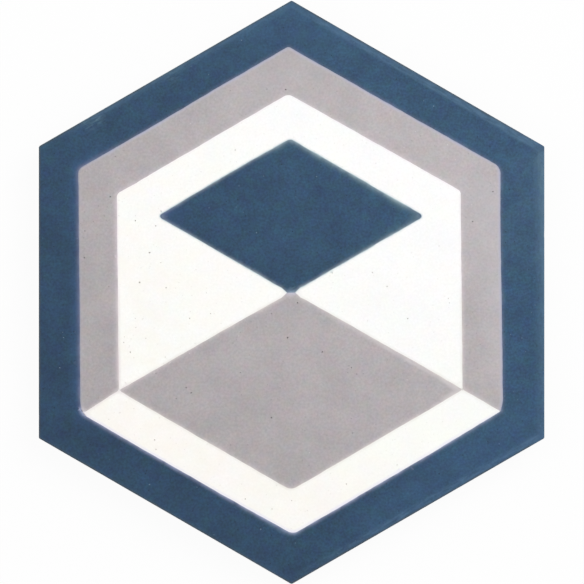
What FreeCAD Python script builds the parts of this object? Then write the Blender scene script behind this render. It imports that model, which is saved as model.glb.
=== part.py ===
import FreeCAD, Part
import math
import os

# Hexagonal cement floor tile, pressed in one piece, with a figure of three pigmented mixes in its wear face.
# Millimetres. The origin is the middle of the underside, +Z goes up through the wear face and +Y to a corner.

# Pressed body
across_flats = 200.0
thickness = 16.0
face_layer = 3.0
corner_radius = 0.8
face_arris = 0.4
back_arris = 0.6

# Recess that the press plunger leaves in the underside, inside a flat rim
back_rim = 14.0
recess_depth = 1.2
recess_slope_run = 1.8
recess_corner_radius = 7.0

# Figure in the wear face, as the dividers in the mould lay it out: a navy border, a grey frame,
# a white band round a navy rhombus, and under them a grey rhombus with a white chevron below it
border_width = 16.3
frame_width = 15.6
band_width = 15.4
field_corner_radius = 1.3
centre_corner_radius = 2.6

# The dividers are set by hand, a little off the middle of the mould and a little turned
figure_shift_x = -0.55
figure_shift_y = 0.6
figure_turn = 0.4

UP = FreeCAD.Vector(0, 0, 1)
CENTRE = FreeCAD.Vector(0, 0, 0)
SAME_HEIGHT = 1e-6

# A hexagon's corners, clockwise from the one in +Y
CORNERS = ("top", "upper right", "lower right", "bottom", "lower left", "upper left")
CORNER_STEP_ANGLE = math.radians(360 / len(CORNERS))


def hexagon_corners(flat_distance, names):
    """Named corners of the hexagon whose flats are this far from its middle."""
    reach = flat_distance / math.cos(CORNER_STEP_ANGLE / 2)
    angles = [CORNERS.index(name) * CORNER_STEP_ANGLE for name in names]
    return [FreeCAD.Vector(reach * math.sin(angle), reach * math.cos(angle), 0) for angle in angles]


def rounded_outline(corners, radii):
    """Closed outline through the corners, where each corner is an arc of its own radius."""
    arcs = []
    for i, tip in enumerate(corners):
        back = (corners[i - 1] - tip).normalize()
        ahead = (corners[(i + 1) % len(corners)] - tip).normalize()
        half_angle = back.getAngle(ahead) / 2
        tip_to_tangent = radii[i] / math.tan(half_angle)
        tip_to_arc = radii[i] / math.sin(half_angle) - radii[i]
        middle = tip + (back + ahead).normalize() * tip_to_arc
        arcs.append((tip + back * tip_to_tangent, middle, tip + ahead * tip_to_tangent))
    edges = []
    for i, (start, middle, end) in enumerate(arcs):
        next_start = arcs[(i + 1) % len(arcs)][0]
        edges.append(Part.Arc(start, middle, end).toShape())
        edges.append(Part.makeLine(end, next_start))
    return Part.Wire(edges)


def hexagon_outline(flat_distance, radius):
    """Hexagon that stands on a corner, with the same radius at all its corners."""
    corners = hexagon_corners(flat_distance, CORNERS)
    return rounded_outline(corners, [radius] * len(corners))


def slab(outline, bottom, top):
    """Straight prism on an outline, between two heights."""
    prism = Part.Face(outline).extrude(UP * (top - bottom))
    prism.translate(UP * bottom)
    return prism


def edges_at(solid, height):
    """The edges of a solid that lie flat at one height."""
    boxes = [(edge, edge.BoundBox) for edge in solid.Edges]
    return [edge for edge, box in boxes if max(abs(box.ZMin - height), abs(box.ZMax - height)) < SAME_HEIGHT]


def pressed_body():
    """Grey mortar with the pigmented layer on it, whose joint shows as a line round the sides."""
    outline = hexagon_outline(across_flats / 2, corner_radius)
    joint_height = thickness - face_layer
    mortar = slab(outline, 0, joint_height)
    mortar = mortar.makeChamfer(back_arris, edges_at(mortar, 0))
    face = slab(outline, joint_height, thickness)
    face = face.makeFillet(face_arris, edges_at(face, thickness))
    return mortar.fuse(face)


def plunger_recess():
    """Shallow pan with sloping walls, to be cut from the underside."""
    mouth_distance = across_flats / 2 - back_rim
    mouth = hexagon_outline(mouth_distance, recess_corner_radius)
    floor = hexagon_outline(mouth_distance - recess_slope_run, recess_corner_radius - recess_slope_run)
    floor.translate(UP * recess_depth)
    return Part.makeLoft([mouth, floor], True, True)


def colour_fields():
    """Prisms of the fields inside the border, as deep as the pigmented layer, where the dividers stood."""
    frame_distance = across_flats / 2 - border_width
    cube_distance = frame_distance - frame_width
    rhombus_distance = cube_distance - band_width

    # The grey frame and, inside it, the chevron that closes it at the bottom
    frame = hexagon_outline(frame_distance, field_corner_radius)
    chevron_corners = hexagon_corners(frame_distance, ["lower right", "bottom", "lower left"])
    chevron_corners += hexagon_corners(cube_distance, ["lower left", "bottom", "lower right"])
    chevron = rounded_outline(chevron_corners, [field_corner_radius] * len(chevron_corners))

    # The two upper sides of the cube, in white, which leave the grey rhombus as its lower side
    white_names = ["lower left", "upper left", "top", "upper right", "lower right"]
    white_corners = hexagon_corners(cube_distance, white_names)
    white_radii = [field_corner_radius] * len(white_corners)
    white = rounded_outline(white_corners + [CENTRE], white_radii + [centre_corner_radius])

    # The navy rhombus, which stands on the centre inside the white
    rhombus_corners = hexagon_corners(rhombus_distance, ["upper left", "top", "upper right"])
    rhombus_radii = [field_corner_radius] * len(rhombus_corners)
    rhombus = rounded_outline(rhombus_corners + [CENTRE], rhombus_radii + [centre_corner_radius])

    outlines = (frame, chevron, white, rhombus)
    fields = [slab(outline, thickness - face_layer, thickness) for outline in outlines]
    for field in fields:
        field.rotate(CENTRE, UP, figure_turn)
        field.translate(FreeCAD.Vector(figure_shift_x, figure_shift_y, 0))
    return fields


def hexagon_tile():
    """The tile as one solid, with the outline of every field left as edges in the wear face."""
    tile = pressed_body().multiFuse(colour_fields())
    return tile.cut(plunger_recess()).Solids[0]


os.makedirs("parts", exist_ok=True)
tile = hexagon_tile()
tile.exportStep("parts/hexagon_tile.step")
print("hexagon_tile valid:", tile.isValid(), "faces:", len(tile.Faces), "cm3:", round(tile.Volume / 1000, 2))
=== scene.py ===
import math
import random

import bmesh
import bpy
from bmesh.types import BMEdge, BMFace, BMVert
from bpy.props import FloatProperty, FloatVectorProperty, PointerProperty
from mathutils import Matrix, Vector, kdtree, noise
from mathutils.geometry import intersect_point_line


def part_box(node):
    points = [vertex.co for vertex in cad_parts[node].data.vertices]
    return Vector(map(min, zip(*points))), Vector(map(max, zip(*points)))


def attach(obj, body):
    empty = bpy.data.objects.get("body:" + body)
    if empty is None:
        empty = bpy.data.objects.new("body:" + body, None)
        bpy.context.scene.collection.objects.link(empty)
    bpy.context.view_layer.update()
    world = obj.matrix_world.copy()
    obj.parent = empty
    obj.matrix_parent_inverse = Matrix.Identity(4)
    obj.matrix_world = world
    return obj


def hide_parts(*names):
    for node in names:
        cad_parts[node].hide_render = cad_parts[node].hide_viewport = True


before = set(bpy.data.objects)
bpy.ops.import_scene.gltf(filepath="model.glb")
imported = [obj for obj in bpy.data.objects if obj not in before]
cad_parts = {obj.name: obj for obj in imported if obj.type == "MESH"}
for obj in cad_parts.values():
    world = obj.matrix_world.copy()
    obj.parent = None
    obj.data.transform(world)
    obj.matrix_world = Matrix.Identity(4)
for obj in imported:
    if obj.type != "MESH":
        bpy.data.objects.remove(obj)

bl_info = {
    "name": "Hexagonal Cement Tile",
    "version": (1, 0, 0),
    "blender": (4, 5, 0),
    "location": "3D View > Sidebar > Tile",
    "description": "Models a pressed cement floor tile with a cube figure in its face, and its studio",
    "category": "Add Mesh",
}

MM = 0.001
CAD_LOW, CAD_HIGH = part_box("hexagon_tile")

# The reference picture is square, and the tile lies in it face up, seen straight down
PICTURE_SIDE_PX = 584
TILE_WIDTH_PX = 505.8
TILE_MIDDLE_PX = (291.6, 292.3)
SENSOR_WIDTH_MM = 36.0

# The mixes that the tile is pressed from, in the order of its material slots
NAVY, GREY, WHITE, MORTAR = range(4)

# Corners of a hexagon that stands on its corner, in degrees clockwise from the one in +Y
CORNERS = {
    "top": 0, "upper right": 60, "lower right": 120, "bottom": 180, "lower left": 240, "upper left": 300,
}

# Distance from a hexagon's middle to its sides, as a share of the distance to its corners
SIDE_PER_CORNER = math.cos(math.radians(30))

# The dividers were bent and set by hand, so no two corners of the figure are the same: how far each is cut
# back by its rounding and in how many steps, which mix fills the small gap where three or four fields meet,
# with how pale the mixes run together there and how far round it, and how far the corner slipped in x and y.
# All lengths are in millimetres
CORNER_ROUNDINGS = (
    ("frame", "top", 0.9, 3, None, (0.0, -0.05)),
    ("frame", "upper right", 2.3, 5, None, (-0.27, 0.05)),
    ("frame", "lower right", 0.45, 2, (WHITE, 0.15, 1.2), (-0.9, 0.1)),
    ("frame", "bottom", 2.0, 5, None, (0.32, 0.42)),
    ("frame", "lower left", 2.1, 4, (WHITE, 0.7, 2.3), (0.9, 0.22)),
    ("frame", "upper left", 1.6, 3, None, (0.27, 0.3)),
    ("cube", "top", 2.1, 5, None, (-0.1, -0.7)),
    ("cube", "upper right", 0.8, 2, None, (-0.5, -0.25)),
    ("cube", "lower right", 0.6, 3, (WHITE, 0.15, 1.6), (-0.25, -0.17)),
    ("cube", "bottom", 2.2, 5, None, (-0.22, -0.25)),
    ("cube", "lower left", 0.95, 3, (WHITE, 0.45, 2.0), (0.1, 0.42)),
    ("cube", "upper left", 1.0, 2, None, (-0.1, -0.5)),
    ("rhombus", "top", 1.3, 4, None, (0.4, -0.7)),
    ("rhombus", "upper right", 1.95, 4, None, (0.36, -1.27)),
    ("rhombus", "upper left", 2.1, 4, None, (0.42, -0.62)),
)

# Where the dividers cross at the centre, they were pushed apart sideways, so that the navy and the grey touch
# along a short line and the white ends in a tip on both sides of it: how far the crossing slipped in x and y,
# how far from it the tips are, how pale the mixes run together there and how far round it, in millimetres
CENTRE_SLIP_MM = (0.4, -0.7)
CENTRE_TIP_MM = 1.6
CENTRE_NECK = (0.95, 2.4)

# Where a divider was bent between two corners: how far from the first corner, how far the bend stands off the
# straight line in x and y, and how far it is cut back by its rounding, in millimetres
DIVIDER_BENDS = (
    (("frame", "lower right"), ("frame", "upper right"), 3.6, (1.0, 0.0), 1.6),
    (("frame", "lower right"), ("frame", "bottom"), 48.0, (0.29, -0.51), 20.0),
    (("frame", "bottom"), ("frame", "lower left"), 50.0, (-0.19, -0.33), 20.0),
    (("frame", "lower left"), ("frame", "upper left"), 4.5, (-0.55, 0.0), 2.2),
    (("cube", "lower right"), ("centre", "top"), 14.0, (0.1, 0.18), 5.0),
    (("cube", "lower right"), ("cube", "bottom"), 14.0, (0.1, -0.17), 5.0),
    (("cube", "lower left"), ("cube", "bottom"), 9.0, (-0.12, -0.2), 4.0),
    (("cube", "top"), ("cube", "upper left"), 16.0, (-0.04, 0.07), 5.0),
    (("rhombus", "upper left"), ("rhombus", "top"), 33.0, (-0.2, 0.35), 8.0),
    (("centre", "top"), ("rhombus", "upper left"), 7.0, (0.0, -0.35), 2.5),
    (("centre", "top"), ("rhombus", "upper right"), 7.0, (0.0, -0.35), 2.5),
    (("centre", "top"), ("cube", "lower left"), 7.0, (0.0, 0.35), 2.5),
    (("centre", "top"), ("cube", "lower right"), 7.0, (0.0, 0.35), 2.5),
)

# The most visible pinholes, by their place in the picture and their radius in millimetres, and how many
# spots there are with the ones that are strewn
PINHOLES_PX = (
    (149.5, 252.5, 0.36), (139.5, 282.5, 0.34), (156.5, 225.5, 0.29), (135.5, 220.5, 0.27),
    (167.5, 288.5, 0.24), (209.5, 338.5, 0.28), (131.5, 350.5, 0.31), (154.5, 440.5, 0.28),
    (157.5, 449.5, 0.24), (234.5, 149.5, 0.24), (407.5, 319.5, 0.29), (386.5, 285.5, 0.24),
    (372.5, 272.5, 0.25), (188.5, 319.5, 0.26), (434.5, 331.5, 0.14), (271.5, 416.5, 0.33),
    (288.5, 337.5, 0.36), (322.5, 350.5, 0.29), (298.5, 303.5, 0.29), (187.5, 386.5, 0.28),
    (191.5, 392.5, 0.3), (271.5, 314.5, 0.23), (353.5, 431.5, 0.22), (285.5, 89.5, 0.33),
    (111.5, 197.5, 0.32), (84.5, 258.5, 0.3), (86.5, 229.5, 0.24), (345.5, 483.5, 0.24),
    (471.5, 221.5, 0.28), (491.5, 192.5, 0.26),
)
SPOT_COUNT = 350

# Pale grains of sand that show in the navy, in the same way
GRAINS_PX = (
    (86.5, 457.5, 0.24), (149.5, 484.5, 0.28), (259.5, 527.5, 0.34), (242.5, 41.5, 0.26), (60.5, 367.5, 0.24),
    (63.5, 337.5, 0.24), (256.5, 232.5, 0.28), (316.5, 176.5, 0.26), (434.5, 107.5, 0.24),
)

# How deep a spot goes, as a share of its radius. A grain that stayed lies almost flush with the face
SPOT_DEPTHS = {"pinhole": 1.2, "grain": 0.1}

# Smudges of pale slip, three that were wiped over the border and one where it ran over the centre: place in
# the picture, how pale, and reach in millimetres
SMUDGES_PX = (
    (89.0, 124.0, 0.55, 3.2), (97.0, 119.0, 0.6, 3.4), (172.0, 75.0, 0.35, 3.6), (291.5, 291.5, 0.9, 2.6),
)


def toward(bearing, reach=1.0):
    """Vector of this length over the tile, at a bearing in degrees clockwise from +Y."""
    angle = math.radians(bearing)
    return Vector((reach * math.sin(angle), reach * math.cos(angle), 0))


SIDE_NORMALS = [toward(30 + corner) for corner in CORNERS.values()]
TOP, RIGHT, BOTTOM, LOWER_LEFT, LEFT = (toward(bearing) for bearing in (0, 90, 180, 210, 270))


def linear_colour(hex_value):
    """Scene-linear colour of an sRGB hex value."""
    channels = [int(hex_value[i:i + 2], 16) / 255 for i in (1, 3, 5)]
    return [c / 12.92 if c <= 0.04045 else ((c + 0.055) / 1.055) ** 2.4 for c in channels]


def length(name, description, default):
    """Property for a length in metres."""
    return FloatProperty(name=name, description=description, default=default, unit="LENGTH")


def mix_colour(name, description, hex_value):
    """Property for the colour of a mix."""
    return FloatVectorProperty(
        name=name, description=description, default=linear_colour(hex_value), size=3, subtype="COLOR")


class TileBodySizes(bpy.types.PropertyGroup):
    """Sizes of the pressed body."""
    across_flats: length("Across flats", "Width of the tile from side to side", CAD_HIGH.x - CAD_LOW.x)
    thickness: length(
        "Thickness", "Height of the tile from the rim of its back to its wear face", CAD_HIGH.z - CAD_LOW.z)
    face_layer: length("Face layer", "Depth of the pigmented layer", 3.0 * MM)
    corner_radius: length("Corner radius", "Radius of the tile's corners, seen from above", 0.8 * MM)
    face_arris: length("Face arris", "Radius of the edge round the wear face", 0.4 * MM)
    back_arris: length("Back arris", "Chamfer round the back", 0.6 * MM)
    back_rim: length("Back rim", "Width of the rim round the recess in the back", 14.0 * MM)
    recess_depth: length("Recess depth", "Depth of the recess in the back", 1.2 * MM)
    recess_slope_run: length(
        "Recess slope run", "How far the recess walls lean in from mouth to floor", 1.8 * MM)
    recess_corner_radius: length("Recess corner radius", "Radius of the corners of the recess", 7.0 * MM)


class TileFigureSizes(bpy.types.PropertyGroup):
    """Sizes of the figure that the dividers lay out in the wear face."""
    border_width: length("Border width", "Width of the navy border", 16.3 * MM)
    frame_width: length("Frame width", "Width of the grey frame and of the white chevron", 15.6 * MM)
    band_width: length("Band width", "Width of the white band over the navy rhombus", 15.4 * MM)
    shift: FloatVectorProperty(
        name="Shift", description="How far the dividers were set off the middle of the mould",
        default=(-0.55 * MM, 0.6 * MM, 0.0), size=3, subtype="TRANSLATION", unit="LENGTH")
    turn: FloatProperty(
        name="Turn", description="How far the dividers were turned in the mould",
        default=math.radians(0.4), unit="ROTATION")
    seam_waver: length("Seam waver", "How far the seams stray from a straight line", 0.13 * MM)
    bleed_width: length("Bleed width", "How far the mixes run into each other along a seam", 0.28 * MM)


class TileColours(bpy.types.PropertyGroup):
    """Colours of the mixes."""
    navy: mix_colour("Navy", "Navy mix of the border and the upper rhombus", "#284661")
    grey: mix_colour("Grey", "Grey mix of the frame and the lower rhombus", "#B0AAAC")
    white: mix_colour("White", "White mix of the band and the chevron", "#FBFBFA")
    mortar: mix_colour("Mortar", "Unpigmented mortar of the back", "#8F8B84")


class StudioSettings(bpy.types.PropertyGroup):
    """The light and the camera."""
    sky: FloatProperty(
        name="Sky", description="Strength of the even light from all round", default=0.57, min=0.0)
    key: FloatProperty(
        name="Key lamp", description="Power of the large lamp, up on the right", default=5.2, unit="POWER")
    fill: FloatProperty(
        name="Fill lamp", description="Power of the large lamp, up on the left", default=2.1, unit="POWER")
    lens: FloatProperty(
        name="Lens", description="Focal length of the camera", default=135.0, unit="CAMERA")


GROUPS = {
    "tile_body": TileBodySizes, "tile_figure": TileFigureSizes, "tile_colours": TileColours,
    "tile_studio": StudioSettings,
}


def flat_distance(point):
    """Distance from the axis to the side of the hexagon on which a point lies."""
    return max(point.dot(normal) for normal in SIDE_NORMALS)


def corner_point(distance, name):
    """Corner of the hexagon whose sides are this far from the axis."""
    return toward(CORNERS[name], distance / SIDE_PER_CORNER)


def figure_distances(body, figure):
    """Distances from the axis to the sides of the figure's three hexagons."""
    frame_distance = body.across_flats / 2 - figure.border_width
    cube_distance = frame_distance - figure.frame_width
    return {
        "frame": frame_distance,
        "cube": cube_distance,
        "rhombus": cube_distance - figure.band_width,
        "centre": 0.0,
    }


def mix_at(point, distances):
    """The mix that fills the mould at a point of the figure."""
    distance = flat_distance(point)
    from_top = abs(math.degrees(math.atan2(point.x, point.y)))
    if distance > distances["frame"]:
        return NAVY
    if distance > distances["cube"]:
        return WHITE if from_top > CORNERS["lower right"] else GREY
    if from_top > CORNERS["lower right"]:
        return GREY
    if from_top < CORNERS["upper right"] and distance < distances["rhombus"]:
        return NAVY
    return WHITE


def only(kind, parts):
    """Those parts of a mesh that are of one kind."""
    return [part for part in parts if isinstance(part, kind)]


def cut(bm, faces, point, normal, tolerance=0.001 * MM):
    """Cuts faces with a plane, in an order that is the same each run.

    Gives the faces that there are then, and the edges of the cut.
    """
    verts = dict.fromkeys(vert for face in faces for vert in face.verts)
    edges = dict.fromkeys(edge for face in faces for edge in face.edges)
    made = bmesh.ops.bisect_plane(
        bm, geom=[*verts, *edges, *faces], plane_co=point, plane_no=normal, dist=tolerance)
    return only(BMFace, made["geom"]), only(BMEdge, made["geom_cut"])


def mixes_at(part):
    """The mixes that meet at an edge or a vertex."""
    return {face.material_index for face in part.link_faces}


def faces_where(bm, test):
    """The faces whose middle passes a test."""
    return [face for face in bm.faces if test(face.calc_center_median())]


def lay_out_fields(bm, outline_distance, body, figure):
    """The wear face as one flat mesh of a few large faces, one mix to each."""
    distances = figure_distances(body, figure)
    bmesh.ops.create_circle(bm, cap_ends=True, segments=6, radius=outline_distance / SIDE_PER_CORNER)
    inner = bm.faces[:][0]
    for width in (outline_distance - distances["frame"], figure.frame_width):
        bmesh.ops.inset_region(bm, faces=[inner], thickness=width, use_boundary=True, use_even_offset=True)

    # The two straight dividers through the centre, and the two that close the navy rhombus
    for name in ("upper left", "upper right"):
        along = corner_point(1.0, name)
        cube_faces = faces_where(bm, lambda middle: flat_distance(middle) < distances["cube"] - MM)
        cut(bm, cube_faces, Vector(), (along.y, -along.x, 0))
    for bearing in (-30, 30):
        normal = toward(bearing)
        upper_faces = faces_where(
            bm, lambda middle: flat_distance(middle) < distances["cube"] and middle.y > abs(middle.x))
        cut(bm, upper_faces, normal * distances["rhombus"], normal)

    # A face can't have a hole, so the border and the white band are cut across once more
    border_faces = faces_where(bm, lambda middle: flat_distance(middle) > distances["frame"])
    border_cut_height = 30 * MM
    border_cut = cut(bm, border_faces, Vector((0, border_cut_height, 0)), (0, 1, 0))[1]
    band_side = toward(30)
    band_faces = faces_where(bm, lambda middle: (
        distances["rhombus"] < middle.dot(band_side) < distances["cube"] and middle.y > middle.x > 0))
    band_cut = cut(bm, band_faces, band_side * distances["cube"], (band_side.y, -band_side.x, 0))[1]
    kept = border_cut + band_cut

    for face in bm.faces:
        face.material_index = mix_at(face.calc_center_median(), distances)
    surplus = [
        edge for edge in bm.edges
        if edge not in kept and len(mixes_at(edge)) == 1 and not edge.is_boundary
    ]
    bmesh.ops.dissolve_edges(bm, edges=surplus, use_verts=False)
    nearly_straight = math.radians(179)
    straight = []
    for vert in bm.verts:
        if len(vert.link_edges) == 2:
            to_a, to_b = (edge.other_vert(vert).co - vert.co for edge in vert.link_edges)
            if to_a.angle(to_b) > nearly_straight:
                straight.append(vert)
    bmesh.ops.dissolve_verts(bm, verts=straight)


def hand_setting(figure):
    """How the dividers stand in the mould."""
    return Matrix.Translation(figure.shift) @ Matrix.Rotation(figure.turn, 4, "Z")


def part_white_at(bm, centre):
    """Moves the tips of the two white fields away from the crossing of the dividers."""
    for white in [face for face in centre.link_faces if face.material_index == WHITE]:
        seams = [edge for edge in centre.link_edges if white in edge.link_faces]
        ends = []
        for edge in seams:
            share = CENTRE_TIP_MM * MM / edge.calc_length() / SIDE_PER_CORNER
            ends.append(bmesh.utils.edge_split(edge, centre, share)[1])
        bmesh.utils.face_split(white, *ends)
        bmesh.ops.pointmerge(bm, verts=ends, merge_co=(ends[0].co + ends[1].co) / 2)


def round_off(bm, verts, cut_back, steps):
    """Rounds corners off, with an arc that begins this far from them, and gives its faces."""
    made = bmesh.ops.bevel(
        bm, geom=verts, offset=cut_back, segments=steps, profile=0.5, affect="VERTICES", material=-1)
    return made["faces"]


def arc_cut_back(radius):
    """How far from the corner of a hexagon an arc of this radius begins."""
    return radius / math.tan(math.radians(60))


def round_corners(bm, body, figure):
    """Slips, bends and rounds the dividers, and rounds the corners of the tile.

    Gives the places where the mixes run together, how pale they are there and how far round it.
    """
    distances = figure_distances(body, figure)
    slips = {(hexagon, name): slip for hexagon, name, *_, slip in CORNER_ROUNDINGS}
    slips["centre", "top"] = CENTRE_SLIP_MM
    corners = {}
    for hexagon, name in slips:
        point = corner_point(distances[hexagon], name)
        corners[hexagon, name] = min(bm.verts, key=lambda v: (v.co - point).length)
    for key, slip in slips.items():
        corners[key].co.xy += Vector(slip) * MM

    # The cuts across the border and the band end on seams, which stay straight there
    for vert in bm.verts:
        seams = [edge for edge in vert.link_edges if len(mixes_at(edge)) == 2]
        if len(seams) == 2 and len(vert.link_edges) == 3:
            vert.co = intersect_point_line(vert.co, *(edge.other_vert(vert).co for edge in seams))[0]

    bends = []
    for near, far, distance, shift, cut_back in DIVIDER_BENDS:
        start = corners[near]
        way = corners[far].co - start.co
        edge = min(start.link_edges, key=lambda e: (e.other_vert(start).co - start.co).angle(way))
        bend = bmesh.utils.edge_split(edge, start, distance * MM / edge.calc_length())[1]
        bend.co.xy += Vector(shift) * MM
        bends.append((bend, cut_back))
    for bend, cut_back in bends:
        round_off(bm, [bend], cut_back * MM, steps=6)

    centre = corners["centre", "top"]
    necks = [(hand_setting(figure) @ centre.co, *CENTRE_NECK)]
    part_white_at(bm, centre)
    for hexagon, name, cut_back, steps, gap, _ in CORNER_ROUNDINGS:
        gap_faces = round_off(bm, [corners[hexagon, name]], cut_back * MM, steps)
        if gap:
            for face in gap_faces:
                face.material_index = gap[0]
            gap_points = [vert.co for face in gap_faces for vert in face.verts]
            necks.append((hand_setting(figure) @ (sum(gap_points, Vector()) / len(gap_points)), *gap[1:]))

    tile_corners = [vert for vert in bm.verts if vert.is_boundary and len(vert.link_edges) == 2]
    round_off(bm, tile_corners, arc_cut_back(body.corner_radius), steps=3)
    return necks


def divide_edges(bm, edges, longest):
    """Divides edges into steps that are no longer than this."""
    for edge in edges:
        cuts = math.ceil(edge.calc_length() / longest) - 1
        if cuts > 0:
            bmesh.ops.subdivide_edges(bm, edges=[edge], cuts=cuts)


def unevenness(point, grain, seed, height=0.0):
    """Smooth random number from about -1 to 1 that changes over the length of one grain."""
    return noise.noise(Vector((point.x, point.y, height)) / grain + Vector((seed, seed * 0.37, seed * 0.71)))


def stray(point, grain, seed):
    """Smooth random step in x and y of up to about 1, which changes over the length of one grain."""
    return Vector((unevenness(point, grain, seed), unevenness(point, grain, seed + 50)))


def set_by_hand(bm, figure):
    """Turns and shifts the figure in the mould and gives its seams their waver."""
    turned = hand_setting(figure)
    for vert in bm.verts:
        if not vert.is_boundary:
            vert.co = turned @ vert.co
    divide_edges(bm, [edge for edge in bm.edges if not edge.is_boundary], longest=1.6 * MM)
    for vert in bm.verts:
        if not vert.is_boundary:
            bow = stray(vert.co, 45 * MM, seed=6.4)
            slow = stray(vert.co, 11 * MM, seed=3.1)
            fast = stray(vert.co, 2.7 * MM, seed=8.3) * 0.8
            vert.co.xy += (bow + slow + fast) * figure.seam_waver


def line_the_seams(bm, width):
    """A narrow strip of faces on both sides of every seam, which keeps the distances from it exact."""
    for mix in (NAVY, GREY, WHITE):
        fields = [face for face in bm.faces if face.material_index == mix]
        made = bmesh.ops.inset_region(bm, faces=fields, thickness=width)
        for face in made["faces"]:
            face.material_index = mix


def cut_grid(bm, faces, spacing, reach, tolerance):
    """Cuts flat faces into a grid, so that they can be dented."""
    steps = int(reach / spacing)
    for normal in (Vector((1, 0, 0)), Vector((0, 1, 0))):
        for step in range(-steps, steps + 1):
            faces = cut(bm, faces, normal * (step + 0.5) * spacing, normal, tolerance)[0]
    return faces


def find_nearest(points):
    """Tree that finds the nearest of some points."""
    tree = kdtree.KDTree(len(points))
    for index, point in enumerate(points):
        tree.insert(point, index)
    tree.balance()
    return tree


def measure_distances(bm, body, spots):
    """Notes at every vertex of the face how far it is from the seams of the white and of the navy mix and
    from the tile's side, and how pale each kind of spot makes it there.
    """
    for mix, name in ((WHITE, "white_distance"), (NAVY, "navy_distance")):
        layer = bm.verts.layers.float.new(name)
        seam = find_nearest([
            vert.co for vert in bm.verts if mix in mixes_at(vert) and len(mixes_at(vert)) > 1])
        for vert in bm.verts:
            vert[layer] = seam.find(vert.co)[2]
    rim_distance = bm.verts.layers.float.new("rim_distance")
    for vert in bm.verts:
        vert[rim_distance] = body.across_flats / 2 - flat_distance(vert.co)
    for name, rows in spots.items():
        paleness = bm.verts.layers.float.new(name)
        for vert in bm.verts:
            vert[paleness] = max(
                pallor * max(0.0, 1 - (vert.co - middle).length / (reach * MM))
                for middle, pallor, reach in rows)


def place_in_picture(x, y, body):
    """The point of the tile that lies at this place in the picture."""
    pixel = body.across_flats / TILE_WIDTH_PX
    return Vector((x - TILE_MIDDLE_PX[0], TILE_MIDDLE_PX[1] - y, 0)) * pixel


def strew_spots(body):
    """Places, radii and kinds of the grains and the pinholes, which are fewer towards the upper right."""
    draw = random.Random(11)
    reach = body.across_flats / 2 / SIDE_PER_CORNER
    spots = [(place_in_picture(x, y, body), radius, "grain") for x, y, radius in GRAINS_PX]
    spots += [(place_in_picture(x, y, body), radius, "pinhole") for x, y, radius in PINHOLES_PX]
    while len(spots) < SPOT_COUNT:
        point = Vector((draw.uniform(-reach, reach), draw.uniform(-reach, reach), 0))
        chance = 0.5 - 0.6 * (point.x + 0.6 * point.y) / reach
        if draw.random() < chance:
            radius = 0.09 + 0.14 * draw.random() ** 2
            spots.append((point, radius, "pinhole"))
    return spots


def sink_spots(bm, body):
    """Small ragged holes in the wear face, where air was trapped or a grain of sand broke out or stayed."""
    least_area = 3.0 * MM ** 2
    furthest = 0.96 * body.across_flats / 2
    most_aside = 0.4 * MM
    margin = 0.25 * MM
    layers = {kind: bm.verts.layers.float.new(kind) for kind in SPOT_DEPTHS}
    draw = random.Random(23)
    bm.faces.ensure_lookup_table()
    middles = find_nearest([face.calc_center_median() for face in bm.faces])
    taken = {}
    for point, radius, kind in strew_spots(body):
        point.z = body.thickness
        face = bm.faces[middles.find(point)[1]]
        if face.calc_area() > least_area and flat_distance(point) < furthest:
            taken.setdefault(face, (point, radius * MM, kind))
    for face, (point, radius, kind) in taken.items():
        middle = face.calc_center_median()
        aside = (point - middle) * Vector((1, 1, 0))
        aside.length = min(aside.length, most_aside)
        bmesh.ops.inset_individual(bm, faces=[face], thickness=margin)
        bmesh.ops.subdivide_edges(bm, edges=face.edges[:], cuts=1)
        face = min(
            (near for edge in face.edges for near in edge.link_faces),
            key=lambda near: (near.calc_center_median() - middle).length)
        for vert in face.verts:
            direction = (vert.co - middle).normalized()
            ragged = draw.uniform(0.8, 1.25)
            vert.co = middle + aside + direction * radius * ragged
        slope = 0.2 * radius
        depth = SPOT_DEPTHS[kind] * radius
        bmesh.ops.inset_individual(bm, faces=[face], thickness=slope, depth=-depth)
        for vert in face.verts:
            vert[layers[kind]] = 1.0


def open_loop(bm):
    """The open edges of the mesh."""
    return [edge for edge in bm.edges if edge.is_boundary]


def extrude_loop(bm, loop, mix, place):
    """Extrudes a loop of open edges straight in or out, and gives the new open loop.

    place gives the distance from the axis and the height for a point 100 mm from the axis. A vertex on a
    rounded corner of the tile gets less of that distance.
    """
    rounding = bm.verts.layers.float["rounding"]
    rim_distance = bm.verts.layers.float["rim_distance"]
    made = bmesh.ops.extrude_edge_only(bm, edges=loop)["geom"]
    verts = set(only(BMVert, made))
    for vert in verts:
        direction = Vector((vert.co.x, vert.co.y, 0)) * vert[rounding] / flat_distance(vert.co)
        distance, height = place(direction * (100 * MM))
        vert[rim_distance] += flat_distance(vert.co) - distance * vert[rounding]
        vert.co = direction * distance
        vert.co.z = height
    for face in only(BMFace, made):
        face.material_index = mix
    return [edge for edge in only(BMEdge, made) if set(edge.verts) <= verts]


def arris_size(rim_point, body):
    """Radius of the edge round the face at a point of the rim, larger where it is chipped."""
    chip = max(0.0, unevenness(rim_point, 3.4 * MM, seed=5.3) - 0.5) * 2.0 * MM
    return body.face_arris * (1 + 0.2 * unevenness(rim_point, 5 * MM, seed=1.7)) + chip


def joint_height(rim_point, body):
    """Height at which the pigmented layer meets the mortar, which it does in a wavy line."""
    wave = 0.45 * unevenness(rim_point, 16 * MM, seed=2.9) + 0.2 * unevenness(rim_point, 4 * MM, seed=6.1)
    return body.thickness - body.face_layer + wave * MM


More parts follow.
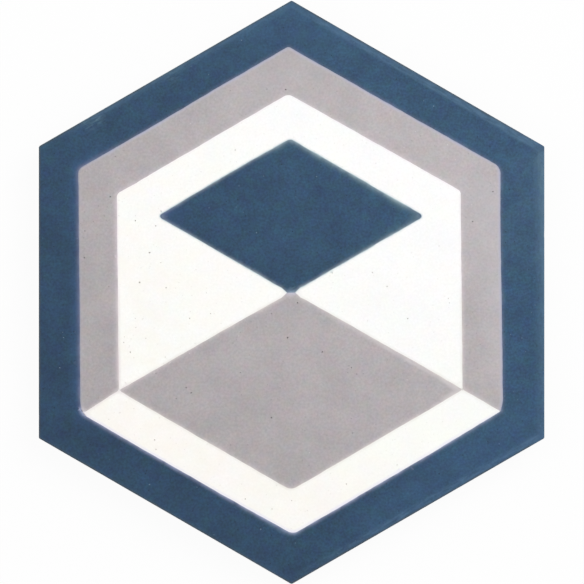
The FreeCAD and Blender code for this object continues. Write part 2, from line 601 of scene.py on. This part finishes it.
def press_edges(bm, start, body):
    """The last of the wear face, from a distance to its arris, and then the sides, down to the back."""
    half_width = body.across_flats / 2
    rounding = bm.verts.layers.float.new("rounding")
    loop = open_loop(bm)
    for vert in {vert for edge in loop for vert in edge.verts}:
        vert[rounding] = flat_distance(vert.co) / start

    # The face rolls off a little towards its arris: share of the way, and share of the drop there
    rolled_off = 0.04 * MM
    for share, drop in ((0.45, 0.1), (0.8, 0.5), (1.0, 1.0)):
        def on_face(rim_point, share=share, drop=drop):
            end = half_width - arris_size(rim_point, body)
            return start + (end - start) * share, body.thickness - rolled_off * drop
        loop = extrude_loop(bm, loop, NAVY, on_face)

    arris_steps = 4
    for step in range(1, arris_steps + 1):
        def round_arris(rim_point, angle=math.radians(90 * step / arris_steps)):
            size = arris_size(rim_point, body)
            lowered = body.thickness - rolled_off - size * (1 - math.cos(angle))
            return half_width - size * (1 - math.sin(angle)), lowered
        loop = extrude_loop(bm, loop, NAVY, round_arris)

    # The pigmented layer is dense and smooth, the mortar under it sandy
    def down_face_layer(rim_point):
        dent = 0.02 * MM * (1 + unevenness(rim_point, 3 * MM, seed=4.4))
        return half_width - dent, body.thickness - 0.5 * body.face_layer

    def to_joint(rim_point):
        dent = 0.03 * MM
        return half_width - dent, joint_height(rim_point, body)

    loop = extrude_loop(bm, loop, NAVY, down_face_layer)
    loop = extrude_loop(bm, loop, NAVY, to_joint)
    mortar_steps = 7
    for step in range(1, mortar_steps + 1):
        def down_mortar(rim_point, share=step / mortar_steps):
            top = joint_height(rim_point, body)
            height = top + (body.back_arris - top) * share
            sand = 0.05 * MM * (1 + unevenness(rim_point, 1.8 * MM, 9.2, height))
            void = 0.5 * MM * max(0.0, unevenness(rim_point, 2.6 * MM, 3.8, height) - 0.45)
            return half_width - sand - void, height
        loop = extrude_loop(bm, loop, MORTAR, down_mortar)

    def chamfer(rim_point):
        return half_width - body.back_arris * (1 + 0.35 * unevenness(rim_point, 4 * MM, seed=7.7)), 0.0

    return extrude_loop(bm, loop, MORTAR, chamfer)


def press_back(bm, loop, body):
    """The flat rim of the back and the shallow recess that the plunger leaves in it."""
    mouth_distance = body.across_flats / 2 - body.back_rim
    floor_distance = mouth_distance - body.recess_slope_run
    corners = bmesh.ops.create_circle(
        bm, cap_ends=True, segments=6, radius=mouth_distance / SIDE_PER_CORNER)["verts"]
    round_off(bm, corners, arc_cut_back(body.recess_corner_radius), steps=8)
    largest_other = mouth_distance ** 2
    floor = next(face for face in bm.faces if face.calc_area() > largest_other)
    divide_edges(bm, floor.edges[:], longest=1.5 * MM)
    floor = next(face for face in bm.faces if face.calc_area() > largest_other)
    walls = bmesh.ops.inset_region(
        bm, faces=[floor], thickness=body.recess_slope_run, use_boundary=True, use_even_offset=True)["faces"]
    for vert in floor.verts:
        vert.co.z = body.recess_depth
    mouth = [edge for face in walls for edge in face.edges if edge.is_boundary]
    rim = bmesh.ops.triangle_fill(bm, use_beauty=True, edges=loop + mouth, normal=(0, 0, -1))["geom"]
    for face in [floor, *walls, *only(BMFace, rim)]:
        face.material_index = MORTAR

    # The floor of the recess is a little uneven, but not where its walls meet it
    grid = cut_grid(bm, [floor], spacing=3 * MM, reach=mouth_distance * 1.2, tolerance=0.3 * MM)
    for face in grid:
        face.material_index = MORTAR
    for vert in bm.verts:
        if body.recess_depth * 0.9 < vert.co.z < body.recess_depth * 1.1:
            if flat_distance(vert.co) < floor_distance - MM:
                vert.co.z += 0.12 * MM * unevenness(vert.co, 11 * MM, seed=8.8)


def tile_mesh(body, figure):
    """The whole tile as one closed mesh."""
    half_width = body.across_flats / 2
    edge_band = 2.0 * MM
    bm = bmesh.new()
    lay_out_fields(bm, half_width - edge_band, body, figure)
    necks = round_corners(bm, body, figure)
    smudges = [(place_in_picture(x, y, body), pallor, reach) for x, y, pallor, reach in SMUDGES_PX]
    divide_edges(bm, open_loop(bm), longest=1.2 * MM)
    set_by_hand(bm, figure)
    line_the_seams(bm, figure.bleed_width)
    cut_grid(bm, bm.faces[:], spacing=2.0 * MM, reach=half_width * 1.2, tolerance=0.1 * MM)
    measure_distances(bm, body, {"neck": necks, "smudge": smudges})
    for vert in bm.verts:
        hollow = 0.0 if vert.is_boundary else 0.02 * MM * (1 + unevenness(vert.co, 25 * MM, seed=4.9))
        vert.co.z = body.thickness - hollow
    sink_spots(bm, body)
    loop = press_edges(bm, half_width - edge_band, body)
    press_back(bm, loop, body)
    bmesh.ops.recalc_face_normals(bm, faces=bm.faces[:])
    return bm


def fill_inputs(tree, node, values):
    """Sets inputs of a node, or links them to a socket or to the first output of another node."""
    for key, value in values.items():
        if isinstance(value, bpy.types.Node):
            value = value.outputs[0]
        if isinstance(value, bpy.types.NodeSocket):
            tree.links.new(value, node.inputs[key])
        else:
            node.inputs[key].default_value = value


def add_node(tree, kind, values=None, **settings):
    """Adds a shader node with its settings, and sets or links its inputs."""
    made = tree.nodes.new("ShaderNode" + kind)
    for key, value in settings.items():
        setattr(made, key, value)
    fill_inputs(tree, made, values or {})
    return made


def blank_material(name):
    """New material, with its node tree and its shader."""
    material = bpy.data.materials.new(name)
    material.use_nodes = True
    return material, material.node_tree, material.node_tree.nodes["Principled BSDF"]


def opaque(colour, shares=(1, 1, 1)):
    """Colour for a socket, with a share of each of its channels."""
    return (*(channel * share for channel, share in zip(colour, shares)), 1.0)


def stain(tree, place, under, attribute, clear, full, colour, share, grain, soft=1.0, sides=(), drawn=None):
    """Mixes a colour in where an attribute goes from one value to another, in broken patches.

    share is how much of the colour there is in its gaps and in its patches, and grain is their size. soft is
    the power by which it fades. Each of sides limits it to one side of the tile: a direction, and how far
    along it the stain starts and is whole, in millimetres. drawn is the angle along which the patches are
    drawn out.
    """
    where = add_node(tree, "Attribute", attribute_name=attribute)
    reach = add_node(tree, "MapRange", {
        "Value": where.outputs["Fac"], "From Min": clear, "From Max": full})
    faded = add_node(tree, "Math", {0: reach, 1: soft}, operation="POWER")
    patch_place = place
    if drawn is not None:
        patch_place = add_node(tree, "Mapping", {
            "Vector": place, "Rotation": (0, 0, drawn), "Scale": (5, 1, 1)}, vector_type="TEXTURE")
    breaks = add_node(tree, "TexNoise", {"Vector": patch_place, "Scale": 1 / grain, "Detail": 2.0})
    broken = add_node(tree, "MapRange", {
        "Value": breaks, "From Min": 0.35, "From Max": 0.65, "To Min": share[0], "To Max": share[1]})
    amount = add_node(tree, "Math", {0: faded, 1: broken}, operation="MULTIPLY")
    for direction, start, whole in sides:
        along = add_node(tree, "VectorMath", {0: place, 1: direction}, operation="DOT_PRODUCT")
        side = add_node(tree, "MapRange", {
            "Value": along.outputs["Value"], "From Min": start * MM, "From Max": whole * MM})
        amount = add_node(tree, "Math", {0: amount, 1: side}, operation="MULTIPLY")
    return add_node(tree, "Mix", {
        0: amount, 6: under, 7: opaque(linear_colour(colour))}, data_type="RGBA").outputs[2]


def on_spots(kind, clear, full, colour, share, grain, **more):
    """Stain on one kind of spot, from clear to full in how strong the spot is there."""
    return dict(attribute=kind, clear=clear, full=full, colour=colour, share=share, grain=grain * MM, **more)


def along_seams(mix, clear, full, *look, **more):
    """Stain beside the seams of a mix or the rim of the tile, from clear to full in millimetres from them."""
    return on_spots(f"{mix}_distance", clear * MM, full * MM, *look, **more)


def all_over(colour, share, grain, *sides):
    """Stain that covers a mix on some sides of the tile."""
    return along_seams("rim", 0.0, 1.0, colour, share, grain, sides=sides)


def rim_wear_and_highlight(bearing, clear, full, soft, share, colour, first, last):
    """Light band along one side of the tile, where the pressed face rolls off to its arris: partly rubbed
    wear, partly a painted highlight where the rolled rim catches the lamp.

    The side is given by the bearing of its normal. The band fades in from clear to full, in millimetres from
    the edge, with its own colour and share. first and last are where it starts and is whole at both ends of
    the side, going clockwise, in millimetres from its middle.
    """
    outward, clockwise = toward(bearing), toward(bearing + 90)
    return along_seams(
        "rim", clear, full, colour, share, 0.9, soft=soft, drawn=-math.radians(bearing),
        sides=[(outward, 88, 92), (clockwise, *first), (-clockwise, *last)])


def pigmented_cement(name, colour, painted_light_and_tint, cloud, tint, patch, grain, specks, relief, stains):
    """Cement, marble powder and pigment poured as a slurry and pressed: dense, matt and faintly clouded.

    painted_light_and_tint is the share of each channel at the lower left and at the upper right, and the
    direction
    in which the colour runs from one to the other. On the navy and the grey this is painted light and shade:
    darker at the lower left and paler towards the lamp on the upper right, with a slight shift of hue. On the
    white it is a slight shift, warmer and paler at the lower left. The slurry settles unevenly, which gives
    soft clouds a centimetre or two wide and small patches a few millimetres wide. cloud is how far the clouds
    change its light, and tint and patch are how far clouds and patches shift its hue. grain is how far fine
    sand changes its light, and single grains show as specks: colour, spacing, size, and how far it covers the
    cement.
    relief is the strength of the bump, and stains are laid over it all in order.
    """
    material, tree, shader = blank_material(name)
    place = add_node(tree, "TexCoord").outputs["Object"]

    # Painted light and shade across the tile, with a slight shift of hue
    near, far, direction = painted_light_and_tint
    along = add_node(tree, "VectorMath", {0: place, 1: direction}, operation="DOT_PRODUCT")
    gradient_share = add_node(tree, "MapRange", {
        "Value": along.outputs["Value"], "From Min": -100 * MM, "From Max": 100 * MM})
    ground = add_node(tree, "Mix", {
        0: gradient_share, 6: opaque(colour, near), 7: opaque(colour, far)}, data_type="RGBA")

    clouds = add_node(tree, "TexNoise", {"Vector": place, "Scale": 1 / (13 * MM), "Detail": 3.0})
    patches = add_node(tree, "TexNoise", {
        "Vector": place, "Scale": 1 / (4.2 * MM), "Detail": 2.0, "Roughness": 0.6})
    # The sand is finer than 0.5 mm, and drawn nearly twice as coarse so that it shows
    grains = add_node(tree, "TexNoise", {"Vector": place, "Scale": 1 / (0.9 * MM), "Detail": 1.0})
    cloud_light, grain_light = (
        add_node(tree, "MapRange", {"Value": texture, "To Min": 1 - change, "To Max": 1 + change})
        for texture, change in ((clouds, cloud), (grains, grain)))
    light = add_node(tree, "Math", {0: cloud_light, 1: grain_light}, operation="MULTIPLY")
    look = add_node(tree, "VectorMath", {0: ground.outputs[2], "Scale": light}, operation="SCALE")
    for texture, shift in ((clouds, (tint, tint, tint)), (patches, patch)):
        hue = add_node(tree, "VectorMath", {
            0: texture.outputs["Color"], 1: [2 * c for c in shift], 2: [1 - c for c in shift]},
            operation="MULTIPLY_ADD")
        look = add_node(tree, "VectorMath", {0: look, 1: hue}, operation="MULTIPLY")

    for speck_colour, spacing, size, most in specks:
        cells = add_node(tree, "TexVoronoi", {"Vector": place, "Scale": 1 / (spacing * MM)})
        speck = add_node(tree, "MapRange", {
            "Value": cells.outputs["Distance"], "From Min": size / spacing, "From Max": 0.4 * size / spacing,
            "To Min": 0.0, "To Max": most})
        look = add_node(tree, "Mix", {
            0: speck, 6: look, 7: opaque(linear_colour(speck_colour))}, data_type="RGBA").outputs[2]
    for settings in stains:
        look = stain(tree, place, look, **settings)

    polish = add_node(tree, "MapRange", {
        "Value": patches, "From Min": 0.3, "From Max": 0.7, "To Min": 0.55, "To Max": 0.72})
    height = add_node(tree, "Math", {0: grains, 1: 0.5, 2: patches}, operation="MULTIPLY_ADD")
    bump = add_node(tree, "Bump", {"Strength": relief, "Distance": 0.06 * MM, "Height": height})
    fill_inputs(tree, shader, {
        "Base Color": look, "Roughness": polish, "Normal": bump, "Specular IOR Level": 0.3})
    return material


def navy_cement(colour):
    """Cement with blue and black pigment: deep, the most clouded of the three, and the first to rub pale,
    with a painted highlight along its rim as well.
    """
    # Light bands along the rim: partly rubbed wear, partly a painted highlight where the rolled-off rim faces
    # the lamp
    rim_wear_and_highlights = (
        (-30, 3.4, 0.2, 1.4, (0.3, 0.75), "#50708A", (-60, -30), (-60, -54)),
        (30, 3.4, 2.4, 1.2, (0.25, 0.64), "#51718D", (-60, -40), (-58.5, -54)),
        (30, 6.0, 1.0, 1.5, (0.05, 0.3), "#51718D", (20, 45), (-57, -50)),
        (90, 5.0, 0.2, 1.5, (0.65, 1.0), "#53728A", (-58, -54), (-120, 60)),
        (90, 8.0, 1.0, 1.5, (0.05, 0.35), "#587484", (-58, -52), (25, 50)),
        (150, 3.5, 2.3, 1.2, (0.08, 0.5), "#50708D", (-60, -54), (-70, -10)),
        (210, 2.0, 0.2, 1.0, (0.05, 0.2), "#50708D", (-60, -50), (-60, -50)),
    )
    stains = [
        *(rim_wear_and_highlight(*row) for row in rim_wear_and_highlights),
        # Painted shade: the arris itself is darkened grey, but not on the right, towards the lamp
        along_seams("rim", 1.0, 0.45, "#3E484E", (0.35, 0.7), 7, sides=[(LEFT, -97, -93)]),
        # A little of the white floats over the navy rhombus beside it
        along_seams("white", 4, 0, "#4A6C78", (0.25, 0.75), 6, sides=[((0.8, 0.6, 0), 10, 60)]),
        # The chevron's white was smeared a little over the border when the dividers were drawn
        along_seams("white", 1.6, 0.1, "#727EA0", (0.0, 0.6), 9, sides=[(LOWER_LEFT, 70, 80)]),
        along_seams("white", 2.4, 0.4, "#7C98B0", (0.1, 0.5), 5, sides=[((-0.35, -0.94, 0), 86, 92)]),
        on_spots("neck", 0.15, 0.9, "#9CB2CC", (0.5, 0.7), 6),
        on_spots("smudge", 0.0, 0.7, "#6C8F9E", (-0.05, 0.5), 0.6, drawn=math.radians(30)),
        # The blue pigment gathers inside the border's seam on the left, at the tile's top and on its
        # lower right
        along_seams("navy", 5, 1.5, "#44679A", (0.08, 0.24), 8, sides=[(LEFT, 70, 80)]),
        all_over("#3E6488", (0.05, 0.22), 8, (TOP, 84, 104)),
        all_over("#4A70A0", (0.04, 0.14), 8, ((0.5, -0.87, 0), 78, 92), (RIGHT, 20, 45)),
        # Painted highlight: the border is paler on the upper right, towards the lamp
        all_over("#7C96A0", (0.01, 0.045), 8, (RIGHT, 80, 84), (TOP, 3, 15), (TOP, 58, 46)),
        # The blue pigment gathers at the rhombus' left tip too
        along_seams("white", 9, 3, "#405C96", (0.15, 0.45), 5, sides=[
            (LEFT, 42, 50), (RIGHT, -60, -56), (TOP, 0, 15)]),
        # Along every seam the mixes run into each other
        along_seams("navy", 2.4, 0, "#AFAAC5", (0.12, 0.22), 6, soft=3.0),
        along_seams("navy", 2.4, 0, "#AFAAC5", (0.07, 0.15), 6, soft=2.0, sides=[(LEFT, 60, 75)]),
        along_seams("white", 1.9, 0, "#D8EAE6", (0.16, 0.28), 6, soft=3.0, sides=[
            (TOP, -20, 0), (RIGHT, -58, -44), (LEFT, -51, -43)]),
        along_seams("white", 2.6, 0, "#B4D0D4", (0.1, 0.24), 5, soft=1.5, sides=[
            ((0.5, 0.87, 0), 42, 48), (LEFT, -51, -43)]),
        along_seams("white", 2.2, 0, "#D2D8F8", (0.22, 0.38), 6, soft=3.0, sides=[(BOTTOM, 20, 40)]),
        on_spots("grain", 0.0, 1.0, "#8FA6B8", (0.25, 0.5), 20),
        # The floors of the pinholes are darkened: partly dirt, partly painted shade
        on_spots("pinhole", 0.0, 1.0, "#14222E", (0.5, 0.9), 20),
    ]
    # Painted light: the navy is darker at the lower left and paler towards the lamp on the upper right
    return pigmented_cement(
        "navy pigmented cement", colour, ((0.75, 0.775, 0.8), (1.24, 1.215, 1.205), (0.91, 0.41, 0)),
        cloud=0.32, tint=0.05, patch=(0.42, 0.24, 0.22), grain=0.44, relief=0.5,
        specks=(("#7C96AA", 5.0, 0.3, 0.3), ("#101E2C", 3.6, 0.34, 0.75)), stains=stains)


def grey_cement(colour):
    """Plain cement lightened with marble powder: even, with a trace of red that makes it warm."""
    stains = [
        # The white runs over the grey rhombus along its seam on the right
        along_seams("white", 2.0, 1.2, "#C6C1C2", (0.3, 0.8), 8, sides=[
            (RIGHT, 10, 40), ((-0.5, -0.87, 0), -1, 0.5), ((0.5, 0.87, 0), -8, -4)]),
        along_seams("white", 3.0, 0, "#FBF0F6", (0.15, 0.3), 6, soft=3.0),
        along_seams("white", 1.4, 0, "#F0E8D0", (0.1, 0.2), 6, soft=2.0, sides=[(BOTTOM, -5, 5)]),
        # The frame is darker at the top, and paler on the right but not in its corner: the paler right is
        # painted light, towards the lamp
        all_over("#AAA5A8", (0.15, 0.3), 20, (TOP, 72, 86)),
        all_over("#C4C1C7", (0.2, 0.4), 20, ((0.98, 0.2, 0), 68, 82), (TOP, 48, 34)),
        # Along every seam the mixes run into each other
        along_seams("white", 3.0, 0, "#F2DCEC", (0.1, 0.2), 6, soft=2.0, sides=[
            (LEFT, 50, 65), (TOP, -40, -34)]),
        along_seams("navy", 1.4, 0.3, "#B6B6CA", (0.5, 0.9), 6, sides=[(RIGHT, -86, -74)]),
        along_seams("navy", 0.8, 0, "#5E7796", (0.35, 0.5), 6, soft=2.0),
        on_spots("neck", 0.1, 0.8, "#D2CFD9", (0.5, 0.7), 6),
        # The floors of the pinholes are darkened: partly dirt, partly painted shade
        on_spots("pinhole", 0.0, 1.0, "#898687", (0.5, 0.75), 20),
    ]
    # Painted light: the grey is darker at the lower left and paler towards the lamp on the upper right
    return pigmented_cement(
        "grey pigmented cement", colour, ((0.904, 0.904, 0.902), (1.096, 1.096, 1.098), (0.75, 0.66, 0)),
        cloud=0.12, tint=0.016, patch=(0.11, 0.07, 0.09), grain=0.15, relief=0.5,
        specks=(("#6F6B6C", 3.3, 0.3, 0.4), ("#D8D4D6", 6.0, 0.3, 0.5)), stains=stains)


def white_cement(colour):
    """White cement and marble powder without pigment: the smoothest of the three, and all but even."""
    stains = [
        # The marble powder is a little yellow, where the lime has not covered it
        all_over("#FCF6E8", (0.0, 0.35), 7, ((-0.9, -0.45, 0), -30, 70)),
        all_over("#FEF1E8", (0.08, 0.18), 15, ((-0.3, -0.95, 0), 45, 65)),
        all_over("#FBFFF2", (0.05, 0.35), 12, ((0.6, -0.8, 0), 50, 70), (RIGHT, 5, 30)),
        # The grey runs a little over the white, pinker along the frame than along the rhombus
        along_seams("white", 1.2, 0, "#E2DED8", (0.3, 0.6), 6, sides=[(BOTTOM, -5, 5)]),
        along_seams("white", 1.0, 0, "#ECDEE8", (0.2, 0.45), 6, sides=[(TOP, -5, 5)]),
        along_seams("white", 1.0, 0, "#ECDEE8", (0.2, 0.45), 6, sides=[(BOTTOM, -5, 5), (LEFT, 62, 66)]),
        along_seams("navy", 1.3, 0, "#4AA2AE", (0.42, 0.66), 6, soft=3.0, sides=[(TOP, -20, 0)]),
        along_seams("navy", 1.5, 0.4, "#ECEBFF", (0.3, 0.6), 6, sides=[(BOTTOM, 20, 40)]),
        on_spots("neck", 0.3, 1.0, "#C4C9DC", (0.5, 0.7), 6),
        # The floors of the pinholes are darkened: partly dirt, partly painted shade
        on_spots("pinhole", 0.0, 1.0, "#A6A39A", (0.45, 0.75), 20),
    ]
    return pigmented_cement(
        "white cement and marble powder", colour,
        ((1.03, 1.024, 0.998), (0.98, 0.981, 0.99), (0.77, 0.64, 0)),
        cloud=0.016, tint=0.026, patch=(0.03, 0.022, 0.04), grain=0.045, relief=0.25,
        specks=(("#C9C8C0", 5.0, 0.32, 0.4), ("#DCDBD4", 2.8, 0.34, 0.35)), stains=stains)


def mortar_backing(colour):
    """Lean mortar of cement and river sand, pressed almost dry: grey, gritty and open."""
    material, tree, shader = blank_material("pressed grey mortar")
    place = add_node(tree, "TexCoord").outputs["Object"]
    damp = add_node(tree, "TexNoise", {"Vector": place, "Scale": 1 / (30 * MM), "Detail": 4.0})
    damp_share = add_node(tree, "MapRange", {"Value": damp, "From Min": 0.3, "From Max": 0.7})
    ground = add_node(tree, "Mix", {
        0: damp_share, 6: opaque(colour, (0.8, 0.8, 0.8)), 7: opaque(colour, (1.12, 1.12, 1.12))},
        data_type="RGBA")
    sand = add_node(tree, "TexVoronoi", {"Vector": place, "Scale": 1 / (1.3 * MM)})
    sand_tone = add_node(tree, "SeparateColor", {0: sand.outputs["Color"]})
    sand_light = add_node(tree, "MapRange", {"Value": sand_tone, "To Min": 0.72, "To Max": 1.2})
    sanded = add_node(tree, "VectorMath", {
        0: ground.outputs[2], "Scale": sand_light}, operation="SCALE")
    bump = add_node(tree, "Bump", {
        "Strength": 0.8, "Distance": 0.25 * MM, "Height": sand.outputs["Distance"]}, invert=True)
    fill_inputs(tree, shader, {
        "Base Color": sanded, "Roughness": 0.9, "Normal": bump, "Specular IOR Level": 0.25})
    return material


def add_object(name, data):
    """New object in the scene."""
    made = bpy.data.objects.new(name, data)
    bpy.context.scene.collection.objects.link(made)
    return made


def add_mesh(name, bm):
    """New object in the scene, with the finished mesh."""
    mesh = bpy.data.meshes.new(name)
    bm.to_mesh(mesh)
    bm.free()
    return add_object(name, mesh)


class OBJECT_OT_add_cement_tile(bpy.types.Operator):
    """Add the pressed cement tile"""
    bl_idname = "object.add_cement_tile"
    bl_label = "Cement Tile"
    bl_options = {"REGISTER", "UNDO"}

    def execute(self, context):
        scene = context.scene
        colours = scene.tile_colours
        tile = add_mesh("cement_tile", tile_mesh(scene.tile_body, scene.tile_figure))
        tile.data.shade_smooth()
        tile.data.set_sharp_from_angle(angle=math.radians(40))
        tile.data.materials.append(navy_cement(colours.navy))
        tile.data.materials.append(grey_cement(colours.grey))
        tile.data.materials.append(white_cement(colours.white))
        tile.data.materials.append(mortar_backing(colours.mortar))
        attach(tile, "root")
        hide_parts("hexagon_tile")
        return {"FINISHED"}


def seen_by_eye_or_mirror(tree):
    """1 for rays that come from the camera or from a reflection, which should find a white surround."""
    path = add_node(tree, "LightPath").outputs
    either = add_node(tree, "Math", {
        0: path["Is Camera Ray"], 1: path["Is Glossy Ray"]}, operation="MAXIMUM")
    return add_node(tree, "Math", {0: either, 1: path["Is Transmission Ray"]}, operation="MAXIMUM")


def white_paper():
    """Matt white paper, which glows for the eye so that it looks white, and still takes the tile's shadow."""
    glow_share = 0.93
    material, tree, shader = blank_material("white paper")
    fill_inputs(tree, shader, {
        "Base Color": opaque(linear_colour("#F4F4F4")), "Roughness": 0.9, "Specular IOR Level": 0.1})
    glow = add_node(tree, "Emission", {"Color": (1, 1, 1, 1), "Strength": 1.0})
    share = add_node(tree, "Math", {
        0: seen_by_eye_or_mirror(tree), 1: glow_share}, operation="MULTIPLY")
    both = add_node(tree, "MixShader", {0: share, 1: shader, 2: glow})
    fill_inputs(tree, tree.nodes["Material Output"], {"Surface": both})
    return material


def add_floor():
    """Sheet of paper under the tile."""
    half_width = 3.0
    bm = bmesh.new()
    bmesh.ops.create_grid(bm, x_segments=1, y_segments=1, size=half_width)
    floor = add_mesh("studio_floor", bm)
    floor.data.materials.append(white_paper())


def light_sky(scene, strength):
    """Even light from all round, which looks white itself."""
    scene.world = scene.world or bpy.data.worlds.new("studio")
    scene.world.use_nodes = True
    sky = scene.world.node_tree
    seen_strength = add_node(sky, "Mix", {
        0: seen_by_eye_or_mirror(sky), 2: strength, 3: 1.0}, data_type="FLOAT")
    fill_inputs(sky, sky.nodes["Background"], {"Color": (1, 1, 1, 1), "Strength": seen_strength})


def add_lamp(name, power, size, place):
    """Large square lamp, turned to the tile."""
    lamp = bpy.data.lights.new(name, "AREA")
    lamp.energy = power
    lamp.size = size
    stand = add_object(name, lamp)
    stand.location = place
    stand.rotation_euler = (-Vector(place)).to_track_quat("-Z", "Y").to_euler()


def add_camera(scene, lens):
    """Camera straight above, from where the tile fills the picture as it does in the reference."""
    camera = bpy.data.cameras.new("camera")
    camera.lens = lens
    camera.sensor_width = SENSOR_WIDTH_MM
    body = scene.tile_body
    pixel = body.across_flats / TILE_WIDTH_PX
    picture_width = pixel * PICTURE_SIDE_PX
    offset_x = PICTURE_SIDE_PX / 2 - TILE_MIDDLE_PX[0]
    offset_y = TILE_MIDDLE_PX[1] - PICTURE_SIDE_PX / 2
    scene.camera = add_object("camera", camera)
    scene.camera.location = (
        offset_x * pixel, offset_y * pixel, body.thickness + picture_width * lens / SENSOR_WIDTH_MM)


class SCENE_OT_add_tile_studio(bpy.types.Operator):
    """Add the floor, the light and the camera over the tile"""
    bl_idname = "scene.add_tile_studio"
    bl_label = "Studio"
    bl_options = {"REGISTER", "UNDO"}

    def execute(self, context):
        scene = context.scene
        studio = scene.tile_studio
        add_floor()
        light_sky(scene, studio.sky)
        add_lamp("key_lamp", studio.key, size=0.7, place=(0.55, 0.4, 0.9))
        add_lamp("fill_lamp", studio.fill, size=0.9, place=(-0.5, 0.1, 0.9))
        add_camera(scene, studio.lens)
        scene.view_settings.view_transform = "Standard"
        return {"FINISHED"}


class VIEW3D_PT_cement_tile(bpy.types.Panel):
    """Lists the tile's operators and sizes"""
    bl_idname = "VIEW3D_PT_cement_tile"
    bl_label = "Cement Tile"
    bl_space_type = "VIEW_3D"
    bl_region_type = "UI"
    bl_category = "Tile"

    def draw(self, context):
        layout = self.layout
        layout.operator(OBJECT_OT_add_cement_tile.bl_idname)
        layout.operator(SCENE_OT_add_tile_studio.bl_idname)
        for group in GROUPS:
            settings = getattr(context.scene, group)
            box = layout.box()
            for name in settings.__annotations__:
                box.prop(settings, name)


CLASSES = (*GROUPS.values(), OBJECT_OT_add_cement_tile, SCENE_OT_add_tile_studio, VIEW3D_PT_cement_tile)


def register():
    for cls in CLASSES:
        bpy.utils.register_class(cls)
    for name, group in GROUPS.items():
        setattr(bpy.types.Scene, name, PointerProperty(type=group))


def unregister():
    for name in GROUPS:
        delattr(bpy.types.Scene, name)
    for cls in reversed(CLASSES):
        bpy.utils.unregister_class(cls)


def main():
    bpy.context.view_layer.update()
    register()
    bpy.ops.object.add_cement_tile()
    bpy.ops.scene.add_tile_studio()


if __name__ == "__main__":
    main()
